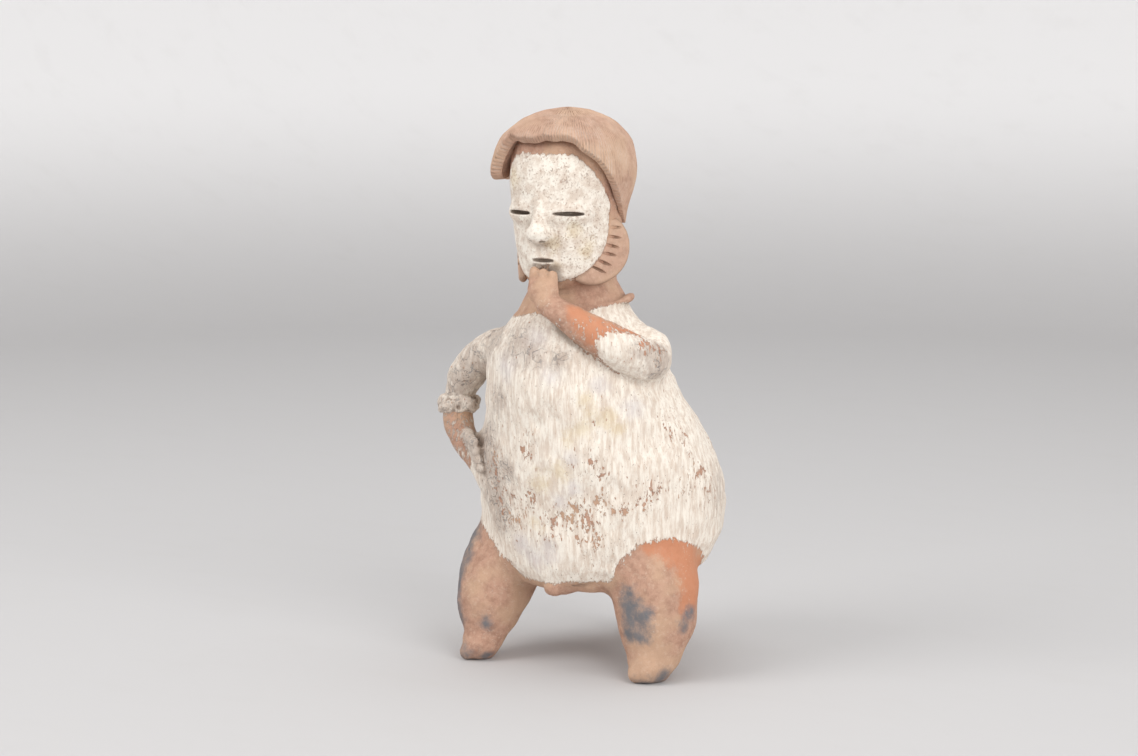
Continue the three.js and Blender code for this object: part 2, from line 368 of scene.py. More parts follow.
def skin_mesh(clay, cell, settle=2):
    """Points and quads of the clay's surface. The cell gives the size of a face at a height."""
    heights = [clay.low[2]]
    while heights[-1] < clay.high[2]:
        heights.append(heights[-1] + cell(heights[-1]))
    heights = np.array(heights)
    cells = np.array([cell(z) for z in heights])
    low = np.floor(clay.low[:2] / cells.min()).astype(int)
    blocks = np.ceil((clay.high[:2] - clay.low[:2]) / cells.min() / BLOCK).astype(int)
    i, j = np.meshgrid(*(np.arange(BLOCK * n) for n in blocks), indexing="ij")
    field = np.empty((*i.shape, len(heights)))
    for k, (z, size) in enumerate(zip(heights, cells)):
        flat = np.stack([(i + low[0]) * size, (j + low[1]) * size, np.full(i.shape, z)], -1)
        middles = flat[BLOCK // 2 :: BLOCK, BLOCK // 2 :: BLOCK]
        rough = clay.distance(middles.reshape(-1, 3)).reshape(middles.shape[:2]) / size
        rough = rough.repeat(BLOCK, 0).repeat(BLOCK, 1)
        near = np.abs(rough) < BLOCK * 1.2
        field[..., k] = rough
        field[..., k][near] = clay.distance(flat[near]) / size
    grid = vdb.FloatGrid(background=3.0)
    grid.copyFromArray(np.clip(field, -3, 3).astype(np.float32))
    index, quads = grid.convertToQuads(isovalue=0.0)
    share = np.interp(index[:, 2], np.arange(len(heights)), cells)
    p = np.stack([
        (index[:, 0] + low[0]) * share,
        (index[:, 1] + low[1]) * share,
        np.interp(index[:, 2], np.arange(len(heights)), heights),
    ], 1)
    for _ in range(settle):
        slope = clay.slope(p)
        size = (slope**2).sum(1).clip(0.2)
        p -= slope * np.clip(clay.distance(p) / size, -1, 1)[:, None]
    return p, quads


def unevenness(p, size, seed, waves=16):
    """A smooth random height of about -1 to 1, with bumps of about this size."""
    draw = np.random.default_rng(seed)
    total = np.zeros(len(p))
    for _ in range(waves):
        heading = draw.normal(size=3)
        heading *= 2 * math.pi / (np.linalg.norm(heading) * size * draw.uniform(1.3, 3.2))
        total += np.sin(p @ heading + draw.uniform(0, 2 * math.pi))
    return total / math.sqrt(waves)


def bearing(p):
    """How far round the head from straight ahead, in degrees, positive on the figure's left."""
    return np.degrees(np.arctan2(p[:, 0], HEAD_MIDDLE - p[:, 1]))


def edge_height(degrees):
    """The height of the hair's cut edge at a bearing."""
    left = lerp(BROW_EDGE, NAPE_EDGE, smoothstep(degrees, *EDGE_FALLS))
    start, level, leave, end = FLAP_FALLS
    right = lerp(BROW_EDGE, FLAP_EDGE, smoothstep(-degrees, start, level))
    right = lerp(right, NAPE_EDGE, smoothstep(-degrees, leave, end))
    return np.where(degrees > 0, left, right)


def world(p):
    """Modelling millimetres as places in the shared frame, in metres."""
    return (np.asarray(p) + (*NECK_AT, -SOLE_WEAR)) * MM


def mesh_object(name, p, faces, attributes):
    """A smooth mesh object at the origin, with its place in its points."""
    mesh = bpy.data.meshes.new(name)
    mesh.from_pydata(world(p).tolist(), [], [tuple(face) for face in faces])
    for title, values in attributes.items():
        layer = mesh.attributes.new(title, "FLOAT", "POINT")
        layer.data.foreach_set("value", np.asarray(values, np.float32))
    mesh.shade_smooth()
    mesh.validate()
    made = bpy.data.objects.new(name, mesh)
    bpy.context.scene.collection.objects.link(made)
    return made


def height_at(share):
    """A height on the face, by its share of the way from the crown to the chin."""
    return HEAD_TOP - share * (HEAD_TOP - CHIN)


def figure_clay():
    """The whole figure but for its hair, ear ornaments and arm band."""
    clay = Clay(np.array([-124.0, -84.0, -8.0]), np.array([118.0, 130.0, 432.0]))
    neck = Limb(NECK)
    neck.low[2], neck.high[2] = 240, 370
    clay.add(Turned(BODY))
    clay.add(neck, 9)
    clay.add(Limb(NECK_RIDGE), 3)
    clay.add(Turned(HEAD), 3.5)
    clay.add(Limb(LEFT_LEG), 9)
    clay.add(Limb(RIGHT_LEG), 9)
    clay.add(Limb(PROP), 12)
    for at, size in TOES:
        clay.add(Lump(at, size), 4)
    clay.add(Limb(NUB), 4)
    clay.add(Lump(*NUB_TIP), 4)
    clay.cut(Limb(BELLY_CREASE), 1.5)
    clay.add(Limb(LEFT_ARM), lambda q: lerp(11, 4, smoothstep(-q[:, 1], 2, 28)))
    clay.add(Limb(RIGHT_ARM), lambda q: lerp(11, 5, smoothstep(-q[:, 0], 72, 92)))
    add_face(clay)
    add_hands(clay)
    clay.cut(Sole(), 1.2)
    return clay


class Sole:
    """What the rubbing took off under the feet."""

    low = np.array([-200.0, -200.0, -60.0])
    high = np.array([200.0, 200.0, 12.0])

    def distance(self, p):
        return p[:, 2] - SOLE_WEAR


def add_face(clay):
    brow, eye, nose, mouth = map(height_at, (BROW_SHARE, EYE_SHARE, NOSE_SHARE, MOUTH_SHARE))
    clay.add(Limb(([(0, -46, brow + 4), (0, -52, brow - 10), (0, -58, nose + 5)], [4, 5, 7.5])), 7)
    for side in (-1, 1):
        clay.add(Lump((side * 6, -54, nose + 4), (6, 7, 5)), 5)
        clay.add(Lump((side * 21, -43, eye), (15, 7, 8), side * 26), 6)
        clay.cut(Lump((side * 21, -49, eye), (12, 8, 1.5), side * 26), 1.2)
        clay.cut(Lump((side * 4, -59, nose), (1.8, 2.4, 2.4)), 1.5)
    clay.add(Lump((0, -46, mouth), (13, 5, 6)), 5)
    clay.cut(Lump((0, -51, mouth), (9, 5, 1.1)), 1.2)


def add_hands(clay):
    x, y, z = PALM
    clay.add(Lump(PALM, PALM_SIZE), 3)
    for i in range(FINGER["count"]):
        across = x + FINGER["first"] + i * FINGER["apart"]
        path = [(across, y + 1, z + 2), (across - 1, y + 3, z + FINGER["long"] - i)]
        clay.add(Limb((path, FINGER["radii"])), 1.6)
    start, end = HIP_FINGER["from"], HIP_FINGER["to"]
    for i in range(HIP_FINGER["count"]):
        shift = np.array([i * HIP_FINGER["shift"], 0, -i * HIP_FINGER["apart"]])
        clay.add(Limb(([start + shift, end + shift], HIP_FINGER["radii"])), 1.6)


# Where the surface changes, as spots: the X, Y and Z of each, and how far it spreads.
RED_SPOTS = [
    (42, -62, 279, 13), (52, -60, 271, 14), (63, -55, 264, 14), (72, -49, 258, 11), (70, -40, 268, 12),
    (33, -61, 288, 8), (87, -16, 107, 15), (96, -8, 100, 15), (102, -4, 91, 15), (105, -5, 80, 15),
    (106, -8, 68, 14), (104, -15, 60, 9), (76, -26, 107, 8), (100, 22, 84, 18), (-84, 20, 84, 16),
]
SMOKE_SPOTS = [
    (65, -36, 70, 10), (66, -37, 60, 11), (72, -37, 52, 12), (77, -37, 42, 11), (82, -37, 58, 7),
    (106, -12, 56, 9), (102, -18, 46, 8), (66, -36, 40, 8), (-82, -14, 100, 15), (-86, -18, 88, 14),
    (-92, -20, 76, 13), (-94, -22, 62, 14), (-93, -24, 48, 14), (-86, -26, 34, 12), (-60, -33, 34, 8),
    (-77, -34, 8, 10), (78, -30, 2, 12), (92, -26, 8, 9), (-62, -30, 6, 8), (12, -38, 84, 9), (22, -40, 88, 9),
    (6, 116, 30, 16), (62, 34, 58, 18), (-58, 30, 52, 18), (-92, 40, 150, 20), (60, 96, 190, 22),
    (-30, 108, 120, 20), (-24, -44, 96, 9), (-40, -40, 92, 8),
]
WORN_SPOTS = [
    (48, -49, 161, 10), (31, -54, 167, 5), (42, -50, 172, 6), (20, -50, 127, 11), (4, -51, 125, 10),
    (46, -46, 139, 11), (35, -48, 127, 12), (76, -31, 143, 9), (38, -46, 108, 13), (31, -49, 132, 12),
    (83, -26, 150, 9), (-10, -57, 186, 8), (-44, -44, 164, 14), (-46, -44, 146, 13), (-38, -42, 131, 14),
    (-28, -45, 121, 14), (-13, -56, 176, 9), (-11, -50, 139, 10), (103, 10, 162, 12), (107, 23, 145, 14),
    (96, -4, 150, 9), (60, -40, 136, 9), (4, -50, 112, 10), (88, -12, 196, 9), (94, 0, 186, 10),
    (-90, 40, 120, 26), (-40, 104, 150, 30), (50, 108, 130, 26), (6, 112, 176, 22), (98, 56, 176, 20),
    (-70, 70, 200, 22), (80, -36, 262, 10), (86, -26, 256, 12),
]
STAIN_SPOTS = [
    (38, -55, 218, 10), (36, -54, 199, 12), (52, -48, 206, 11), (18, -56, 165, 12), (61, -42, 197, 10),
    (0, -55, 156, 14), (24, -58, 190, 9), (-6, -52, 120, 10), (-30, 80, 230, 24), (40, 88, 210, 22),
    (30, -36, 330, 11), (8, -52, 336, 9), (22, -44, 346, 9), (-24, -44, 384, 12), (10, -52, 316, 10),
]
WASH_SPOTS = [
    (26, -56, 174, 9), (28, -52, 152, 9), (12, -62, 236, 11), (48, -49, 231, 10), (15, -52, 140, 9),
    (-24, -44, 103, 12), (-10, -44, 92, 12), (-4, -54, 262, 15), (-30, -54, 240, 16), (70, -36, 214, 14),
    (-20, 44, 268, 26), (50, 60, 240, 26), (-84, 60, 150, 26), (20, 120, 110, 26), (4, -48, 100, 12),
]
DULL_SPOTS = [
    (-62, -10, 262, 18), (-50, -30, 256, 18), (-20, -50, 260, 18), (-4, -58, 250, 15), (-84, -14, 238, 20),
    (-92, -8, 224, 18), (-98, -8, 210, 16), (-104, -6, 196, 16), (-98, -12, 182, 16), (-82, -26, 176, 16),
    (-66, -34, 172, 16), (-56, -42, 186, 16), (-54, -38, 160, 18), (-52, -36, 136, 18), (-44, -38, 118, 16),
    (-30, -46, 160, 13), (78, -40, 258, 12), (88, -22, 252, 13), (84, -26, 240, 12), (-40, -46, 214, 15),
    (20, -60, 250, 11), (-60, 40, 240, 26), (0, 100, 200, 30), (90, 40, 140, 24),
]


def spots(p, places):
    """How strongly points lie in any of these spots, from 0 to 1, with soft edges."""
    clear = np.ones(len(p))
    for x, y, z, spread in places:
        away = ((p - (x, y, z)) ** 2).sum(1) / spread**2
        clear *= 1 - 0.97 * np.exp(-away)
    return 1 - clear


def beside_jaw(p):
    """How far inside the jaw's curve, where the ear ornaments begin, each point lies."""
    turn = math.radians(EAR_TURN)
    along = (np.abs(p[:, 0]) - EAR_AT[0]) * math.cos(turn) + (p[:, 1] - EAR_AT[1]) * math.sin(turn)
    up = np.minimum(p[:, 2] - EAR_AT[2] - EAR_JAW[1], 0)
    return EAR_JAW_RADIUS + 0.8 - np.hypot(along - EAR_JAW[0], up)


def slip_reach(p):
    """How far inside the white slip's edge each point lies, in millimetres, on the face and on the body."""
    x, y, z = p.T
    round_head = bearing(p)
    aside = np.abs(round_head)
    hand = Lump((4, -57, 303), (16, 9, 20)).distance(p) - 0.5
    jaw = 299 + 9 * smoothstep(aside, 30, 70)
    under_hair = edge_height(round_head) - 7 - 3 * smoothstep(round_head, 35, 70) - z
    face = np.minimum.reduce([under_hair, z - jaw, beside_jaw(p), hand, np.where(y < 10, 30, -30)])
    left_leg, right_leg, nub = (Limb(shape).distance(p) for shape in (LEFT_LEG, RIGHT_LEG, NUB))
    forearm = Limb((LEFT_ARM[0][3:], LEFT_ARM[1][3:])).distance(p) - 1
    elbow = (x - 62) * 0.75 - (y + 46) * 0.6 - (z - 262) * 0.3
    hip_arm = Limb((RIGHT_ARM[0][4:7], RIGHT_ARM[1][4:7])).distance(p) - 0.5
    neck_line = 280 + 8 * smoothstep(round_head, 30, 80) - 4 * smoothstep(-round_head, 20, 60)
    body = np.minimum.reduce([
        neck_line - z,
        left_leg - 4 - 3 * smoothstep(y, -10, 30),
        right_leg - 3 - 9 * smoothstep(x, -52, -34),
        nub - 1.5,
        z - 73 - 3 * smoothstep(x, 5, 15),
        np.maximum(forearm, elbow),
        np.maximum(hip_arm, z - 202),
        hand,
    ])
    return face, body


def figure_marks(p, clay):
    """What the pottery's finish follows at each point: slip, wear, smoke and stains, and how closed in by clay the
    point is, which the material paints as shade in creases and hollows.
    """
    out = clay.slope(p)
    out /= np.linalg.norm(out, axis=1, keepdims=True).clip(1e-6)
    # How much clay lies 6 mm and 2 mm out from each point, as a measure of how shut in it is; the slip material darkens
    # by this: painted shade in creases and hollows.
    open_to = clay.distance(p + 6 * out).clip(-6, 6)
    fine = clay.distance(p + 2 * out).clip(-2, 2)
    face, body = slip_reach(p)
    return {
        "slip": np.maximum(face, body),
        "face": smoothstep(face, -1, 1) * (p[:, 2] > 290),
        "red": spots(p, RED_SPOTS),
        "smoke": spots(p, SMOKE_SPOTS),
        "worn": spots(p, WORN_SPOTS),
        "stain": spots(p, STAIN_SPOTS),
        "wash": spots(p, WASH_SPOTS),
        "dull": spots(p, DULL_SPOTS),
        "crease_shade": np.clip(1 - open_to / 6, 0, 1) * 0.6 + np.clip(1 - fine / 2, 0, 1) * 0.5,
    }


def make_figure_mesh(sizes):
    fine, middle, broad = (getattr(sizes, name) / MM for name in ("head_cell", "arm_cell", "belly_cell"))

    def cell(z):
        return float(np.interp(z, (140, 190, 270, 296), (broad, middle, middle, fine)))

    clay = figure_clay()
    p, quads = skin_mesh(clay, cell)
    marks = figure_marks(p, clay)
    out = clay.slope(p)
    out /= np.linalg.norm(out, axis=1, keepdims=True).clip(1e-6)
    calm = 1 - 0.75 * marks["face"]
    work = unevenness(p, 22, 3) + 0.45 * unevenness(p, 8, 4)
    lift = smoothstep(p[:, 2], SOLE_WEAR, SOLE_WEAR + 5)
    p += out * ((work - 0.5) * calm * lift * sizes.hand_work / MM)[:, None]
    p[:, 2] = p[:, 2].clip(SOLE_WEAR)
    return mesh_object("clay_figure", p, quads, marks)


def make_hair_mesh(sizes):
    """The hair slab, as rows from the crown down its outside, round its rim and up inside it."""
    around, down_rows, rim_rows, in_rows = 1000, 46, 12, 12
    head = Turned(HEAD)
    degrees = np.arange(around) * 360 / around
    signed = (degrees + 180) % 360 - 180
    angle = np.radians(degrees - 90)
    wobble = unevenness(np.stack([60 * np.cos(angle), 60 * np.sin(angle), 0 * angle], 1), 10, 11)
    edge = edge_height(signed) + 0.7 * wobble
    ahead = 1 - smoothstep(np.abs(signed), *STANDS_AHEAD)
    heights = head.middle[::-1, 2]
    shares = np.linspace(1, 0, head.SAMPLES)
    at_edge = np.interp(edge, heights, shares)

    def place(height, offset):
        share = np.interp(height, heights, shares)
        return head.at(share, angle) + head.outward(share, angle) * np.asarray(offset)[:, None]

    def gap(height):
        inside = STAND_OFF * ahead * (1 - smoothstep(height - edge, 0, UNDERCUT))
        return inside - 1.5 * smoothstep(height - edge, 0, UNDERCUT) - 0.5 * (1 - ahead)

    def outside(height):
        low = 1 - smoothstep(height, NAPE_EDGE, NAPE_EDGE + 40)
        thick = lerp(HAIR_THICK, HAIR_THIN, low * (1 - ahead))
        flare = STAND_OFF * ahead * (1 - smoothstep(height, edge, HEAD_TOP))
        return thick + flare

    rows = []
    for share in np.linspace(0, 1, down_rows + 1)[1:] ** 0.9:
        height = np.interp(at_edge * share, shares[::-1], heights[::-1])
        rows.append(place(height, outside(height)))
    outer, inner = outside(edge), gap(edge)
    middle, half = (outer + inner) / 2, (outer - inner) / 2
    below = place(edge - 0.5, middle) - place(edge + 0.5, middle)
    below /= np.linalg.norm(below, axis=1, keepdims=True)
    deep = np.minimum(sizes.rim_round / MM, half)
    for turn in np.linspace(0, math.pi, rim_rows + 2)[1:-1]:
        aside = math.copysign(abs(math.cos(turn)) ** 0.5, math.cos(turn))
        rows.append(place(edge, middle + half * aside) + below * (deep * math.sin(turn) ** 0.5)[:, None])
    for share in np.linspace(0, 1, in_rows):
        height = edge + (UNDERCUT + 2) * share
        rows.append(place(height, gap(height)))

    p = np.concatenate([head.at(0.0, 0.0)[None] + (0, 0, HAIR_THICK), *rows, [(0, HEAD_MIDDLE, BROW_EDGE - 20)]])
    count = len(rows)
    ring = np.arange(around)
    after = np.roll(ring, -1)
    faces = [[0, 1 + a, 1 + b] for a, b in zip(ring, after)]
    for row in range(count - 1):
        top, low = 1 + row * around, 1 + (row + 1) * around
        faces += np.stack([top + ring, low + ring, low + after, top + after], 1).tolist()
    last = 1 + (count - 1) * around
    faces += [[len(p) - 1, last + b, last + a] for a, b in zip(ring, after)]
    row_at = np.concatenate([[0], np.repeat(np.arange(count), around), [count]])
    return mesh_object("hair", p, faces, {
        "turn": np.concatenate([[0], np.tile(degrees / 360, count), [0]]),
        "outer": 1 - smoothstep(row_at, down_rows + 3, down_rows + rim_rows),
        "far": np.hypot(p[:, 0], p[:, 1] - HEAD_MIDDLE),
    })


class Wire:
    """A socket of a node tree. Ordinary arithmetic on it adds Math nodes."""

    def __init__(self, graph, socket):
        self.graph = graph
        self.socket = socket

    def math(self, operation, *values):
        return self.graph.node("ShaderNodeMath", {"operation": operation}, values)

    def __add__(self, other):
        return self.math("ADD", self, other)

    def __radd__(self, other):
        return self.math("ADD", other, self)

    def __sub__(self, other):
        return self.math("SUBTRACT", self, other)

    def __rsub__(self, other):
        return self.math("SUBTRACT", other, self)

    def __mul__(self, other):
        return self.math("MULTIPLY", self, other)

    def __rmul__(self, other):
        return self.math("MULTIPLY", other, self)

    def __truediv__(self, other):
        return self.math("DIVIDE", self, other)

    def __neg__(self):
        return self.math("MULTIPLY", self, -1.0)

    def sine(self):
        return self.math("SINE", self)

    def cosine(self):
        return self.math("COSINE", self)

    def larger(self, other):
        return self.math("MAXIMUM", self, other)

    def smaller(self, other):
        return self.math("MINIMUM", self, other)

    def over(self, low, high):
        """A smooth step from 0 at the low value to 1 at the high one."""
        return self.graph.node("ShaderNodeMapRange", {"interpolation_type": "SMOOTHSTEP"}, [self, low, high])

    def other(self, name):
        """Another output of the node that this one comes from."""
        return Wire(self.graph, self.socket.node.outputs[name])


class Graph:
    """A node tree under construction."""

    def __init__(self, tree):
        self.tree = tree

    def node(self, kind, settings=None, inputs=(), out=0):
        """Adds a node: its settings come first, then the values or links of its sockets."""
        made = self.tree.nodes.new(kind)
        for name, value in (settings or {}).items():
            setattr(made, name, value)
        pairs = inputs.items() if isinstance(inputs, dict) else enumerate(inputs)
        for key, value in pairs:
            if isinstance(value, Wire):
                self.tree.links.new(value.socket, made.inputs[key])
            else:
                made.inputs[key].default_value = value
        return Wire(self, made.outputs[out])

    def vector(self, operation, *values):
        return self.node("ShaderNodeVectorMath", {"operation": operation}, values)

    def noise(self, place, size, detail=2.0, rough=0.5, seed=0, warp=0.0):
        """Noise of about 0 to 1. The size of its bumps is one number of millimetres, or one for each axis."""
        sizes = size if isinstance(size, tuple) else (size,) * 3
        shift = tuple(seed * step for step in (17.3, 31.7, 23.1))
        scaled = self.vector("MULTIPLY_ADD", place, tuple(1 / s for s in sizes), shift)
        values = {"Vector": scaled, "Scale": 1.0, "Detail": detail, "Roughness": rough, "Distortion": warp}
        return self.node("ShaderNodeTexNoise", {"noise_dimensions": "3D"}, values)

    def mix(self, share, start, end, blend="MIX"):
        """Blends two colours."""
        settings = {"data_type": "RGBA", "blend_type": blend, "clamp_factor": True}
        return self.node("ShaderNodeMix", settings, {0: share, 6: start, 7: end}, out=2)

    def lerp(self, share, start, end):
        return start + (end - start) * share


class Relief(Graph):
    """A Geometry Nodes tree with named inputs that works on a mesh and ends in a material."""

    SOCKETS = {float: "NodeSocketFloat", int: "NodeSocketInt", bpy.types.Material: "NodeSocketMaterial"}

    def __init__(self, name, inputs):
        tree = bpy.data.node_groups.new(name, "GeometryNodeTree")
        super().__init__(tree)
        tree.interface.new_socket("Geometry", in_out="INPUT", socket_type="NodeSocketGeometry")
        for title, kind in inputs.items():
            tree.interface.new_socket(title, in_out="INPUT", socket_type=self.SOCKETS[kind])
        tree.interface.new_socket("Geometry", in_out="OUTPUT", socket_type="NodeSocketGeometry")
        self.inputs = self.node("NodeGroupInput")

    def input(self, name):
        return self.inputs.other(name)

    def attribute(self, name):
        return self.node("GeometryNodeInputNamedAttribute", {"data_type": "FLOAT"}, {"Name": name})

    def place(self):
        """The position, in millimetres."""
        position = self.node("GeometryNodeInputPosition")
        return self.vector("MULTIPLY", position, (1 / MM,) * 3)

    def moved_out(self, geometry, height):
        """Moves the mesh along its normals by a height in millimetres."""
        normal = self.node("GeometryNodeInputNormal")
        offset = self.node("ShaderNodeVectorMath", {"operation": "SCALE"}, {0: normal, "Scale": height * MM})
        return self.node("GeometryNodeSetPosition", {}, {"Geometry": geometry, "Offset": offset})

    def stored(self, geometry, name, value):
        settings = {"data_type": "FLOAT", "domain": "POINT"}
        values = {"Geometry": geometry, "Name": name, "Value": value}
        return self.node("GeometryNodeStoreNamedAttribute", settings, values)

    def finish(self, geometry):
        whole = self.node("GeometryNodeRealizeInstances", {}, {"Geometry": geometry})
        painted = self.node("GeometryNodeSetMaterial", {}, {"Geometry": whole, "Material": self.input("Material")})
        self.node_out(painted)
        return self.tree

    def node_out(self, geometry):
        made = self.tree.nodes.new("NodeGroupOutput")
        self.tree.links.new(geometry.socket, made.inputs[0])


def figure_relief():
    """Broad strokes of the smoothing hand, running down the figure, and scattered pits."""
    relief = Relief("hand smoothing", {"Stroke depth": float, "Pit depth": float, "Material": bpy.types.Material})
    place = relief.place()
    strokes = relief.noise(place, (5.5, 5.5, 24.0), 2.0, 0.55, seed=1) - 0.5
    pits = relief.noise(place, 4.5, 1.0, 0.5, seed=2).over(0.66, 0.78)
    calm = 1 - relief.attribute("face") * 0.7
    height = (strokes * relief.input("Stroke depth") * 2.0 - pits * relief.input("Pit depth")) * calm
    feet = place_height(relief, place).over(1.0, 6.0)
    return relief.finish(relief.moved_out(relief.input("Geometry"), height * feet / MM))


def place_height(graph, place):
    return graph.node("ShaderNodeSeparateXYZ", {}, [place], out=2)


def hair_relief():
    """Comb strokes that run from the crown to the cut edge, fewer of them near the crown."""
    kinds = {"Strokes": int, "Depth": float, "Unevenness": float, "Material": bpy.types.Material}
    relief = Relief("combing", kinds)
    place = relief.place()
    turn, far, outer = (relief.attribute(name) for name in ("turn", "far", "outer"))
    wander = relief.noise(place, (16.0, 16.0, 16.0), 1.0, 0.5, seed=3) - 0.5
    strokes = relief.input("Strokes")

    def comb(share):
        count = (strokes * share).math("ROUND", strokes * share)
        return (turn * count * math.tau + wander * 7.0).sine()

    crown = relief.lerp(far.over(9.0, 14.0), comb(0.25), comb(0.5))
    ridge = relief.lerp(far.over(24.0, 31.0), crown, comb(1.0))
    pressed = relief.noise(place, (3.5, 3.5, 20.0), 2.0, 0.6, seed=4).over(0.25, 0.6)
    groove = (0.35 - ridge * 0.65).larger(0.0) * outer * pressed
    lumps = relief.noise(place, 11.0, 2.0, 0.5, seed=5) - 0.5
    height = lumps * relief.input("Unevenness") * 2.0 - groove * relief.input("Depth")
    # The groove mark is kept for the material, which paints dust into the grooves and, where there is none, painted
    # shade.
    marked = relief.stored(relief.input("Geometry"), "groove", groove)
    return relief.finish(relief.moved_out(marked, height / MM))


def notch_relief():
    """Notches pressed side by side into a crescent that lies in the XY plane, from its hollow side outwards."""
    kinds = {
        "Notches": int, "First place": float, "Last place": float, "First slant": float, "Last slant": float,
        "Hollow X": float, "Hollow Y": float, "Hollow radius": float, "Long": float, "Wide": float,
        "Deep": float, "Face": float, "Unevenness": float, "Material": bpy.types.Material,
    }
    relief = Relief("notched crescent", kinds)
    value = {name: relief.input(name) for name in kinds}
    index = relief.node("GeometryNodeInputIndex")
    share = index / (value["Notches"] - 1)
    place = relief.lerp(share, value["First place"], value["Last place"])
    jitter = relief.node("FunctionNodeRandomValue", {"data_type": "FLOAT"}, {2: -0.05, 3: 0.05, "Seed": 7}, out=1)
    slant = relief.lerp(share, value["First slant"], value["Last slant"]) + jitter
    inward = value["Long"] * 0.42
    x = value["Hollow X"] + place.cosine() * value["Hollow radius"] + slant.cosine() * inward
    y = value["Hollow Y"] + place.sine() * value["Hollow radius"] + slant.sine() * inward
    position = relief.node("ShaderNodeCombineXYZ", {}, [x, y, value["Face"]])
    points = relief.node("GeometryNodePoints", {}, {"Count": value["Notches"], "Position": position})
    size = relief.node("ShaderNodeCombineXYZ", {}, [value["Long"] / 2, value["Wide"] / 2, value["Deep"]])
    ball = relief.node("GeometryNodeMeshIcoSphere", {}, {"Radius": 1.0, "Subdivisions": 3})
    tool = relief.node("GeometryNodeTransform", {}, {"Geometry": ball, "Scale": size})
    turn = relief.node("FunctionNodeEulerToRotation", {}, [
        relief.node("ShaderNodeCombineXYZ", {}, [0.0, -NOTCH_SLOPE, slant])
    ])
    tools = relief.node("GeometryNodeInstanceOnPoints", {}, {"Points": points, "Instance": tool, "Rotation": turn})
    tools = relief.node("GeometryNodeRealizeInstances", {}, {"Geometry": tools})
    cut = relief.node("GeometryNodeMeshBoolean", {"operation": "DIFFERENCE", "solver": "MANIFOLD"}, {
        "Mesh 1": relief.input("Geometry"), "Mesh 2": tools,
    })
    place = relief.place()
    lumps = relief.noise(place, 7.0, 3.0, 0.6, seed=6) - 0.5
    # How far below the ornament's face each point lies, kept as the groove mark; the clay material darkens by it as
    # painted shade in the notches.
    below = (value["Face"] / MM - place_height(relief, place)).over(0.8, 2.6)
    marked = relief.stored(cut, "groove", below)
    return relief.finish(relief.moved_out(marked, lumps * value["Unevenness"] * 2.0 / MM))


def shaped_by(made, tree, values):
    """Runs a Geometry Nodes tree on an object and keeps the result as its plain mesh."""
    modifier = made.modifiers.new(tree.name, "NODES")
    modifier.node_group = tree
    for item in tree.interface.items_tree:
        if item.in_out == "INPUT" and item.name in values:
            modifier[item.identifier] = values[item.name]
    now = bpy.context.evaluated_depsgraph_get()
    mesh = bpy.data.meshes.new_from_object(made.evaluated_get(now), preserve_all_data_layers=True, depsgraph=now)
    made.modifiers.remove(modifier)
    rough = made.data
    made.data = mesh
    bpy.data.meshes.remove(rough)
    mesh.name = made.name
    mesh.shade_smooth()
    return made


class Crescent:
    """A thick crescent with rounded edges. Its face looks along +Z and its hollow side along -X."""

    def __init__(self, radius, thick, edge):
        self.radius, self.thick, self.edge = radius, thick, edge
        self.low = np.array([-radius * 1.4, -radius * 1.3, -thick / 2]) - 8
        self.high = np.array([radius, radius, thick / 2]) + 8

    def distance(self, p):
        x, y, z = p.T
        lower = np.hypot(x - EAR_LOWER[0], y - EAR_LOWER[1]) - self.radius + 3
        rim = soft_union(np.hypot(x, y) - self.radius, lower, 6)
        hollow = EAR_JAW_RADIUS - np.hypot(x - EAR_JAW[0], y - EAR_JAW[1])
        across = -soft_union(-rim, -hollow, 4) + self.edge
        dome = 1.2 * (1 - np.clip((x**2 + y**2) / self.radius**2, 0, 1))
        through = np.abs(z) - self.thick / 2 - dome + 1.2 + self.edge
        inside = np.minimum(np.maximum(across, through), 0)
        return inside + np.hypot(across.clip(0), through.clip(0)) - self.edge


class Cuff:
    """A ring about the vertical with a fat oval section and a flat underside."""

    def __init__(self, radius, thick, high):
        self.radius, self.thick, self.high = radius, thick, high
        reach = radius + thick + 8
        self.low_z = -high * 0.55
        self.low = np.array([-reach, -reach, -high - 8])
        self.high = np.array([reach, reach, high + 8])
        self.tall = high

    def distance(self, p):
        x, y, z = p.T
        across = (np.hypot(x, y) - self.radius) / self.thick
        up = z / self.tall
        ring = (np.hypot(across, up) - 1) * min(self.thick, self.tall)
        return -soft_union(-ring, z - self.low_z, 1.5)


def new_material(name):
    material = bpy.data.materials.new(name)
    material.use_nodes = True
    material.node_tree.nodes.clear()
    return material, Graph(material.node_tree)


def object_place(graph):
    """Object coordinates, in millimetres."""
    place = graph.node("ShaderNodeTexCoord", out="Object")
    return graph.vector("MULTIPLY", place, (1 / MM,) * 3)


def marked(graph, name):
    return graph.node("ShaderNodeAttribute", {"attribute_name": name}, out="Fac")


def shaded(graph, colour, roughness, height, fixed):
    """Ends a material in one shader. The height is in millimetres."""
    bump = graph.node("ShaderNodeBump", {}, {"Strength": 1.0, "Distance": MM, "Height": height})
    values = {"Base Color": colour, "Roughness": roughness, "Normal": bump, **fixed}
    shader = graph.node("ShaderNodeBsdfPrincipled", {}, values)
    end = graph.tree.nodes.new("ShaderNodeOutputMaterial")
    graph.tree.links.new(shader.socket, end.inputs["Surface"])


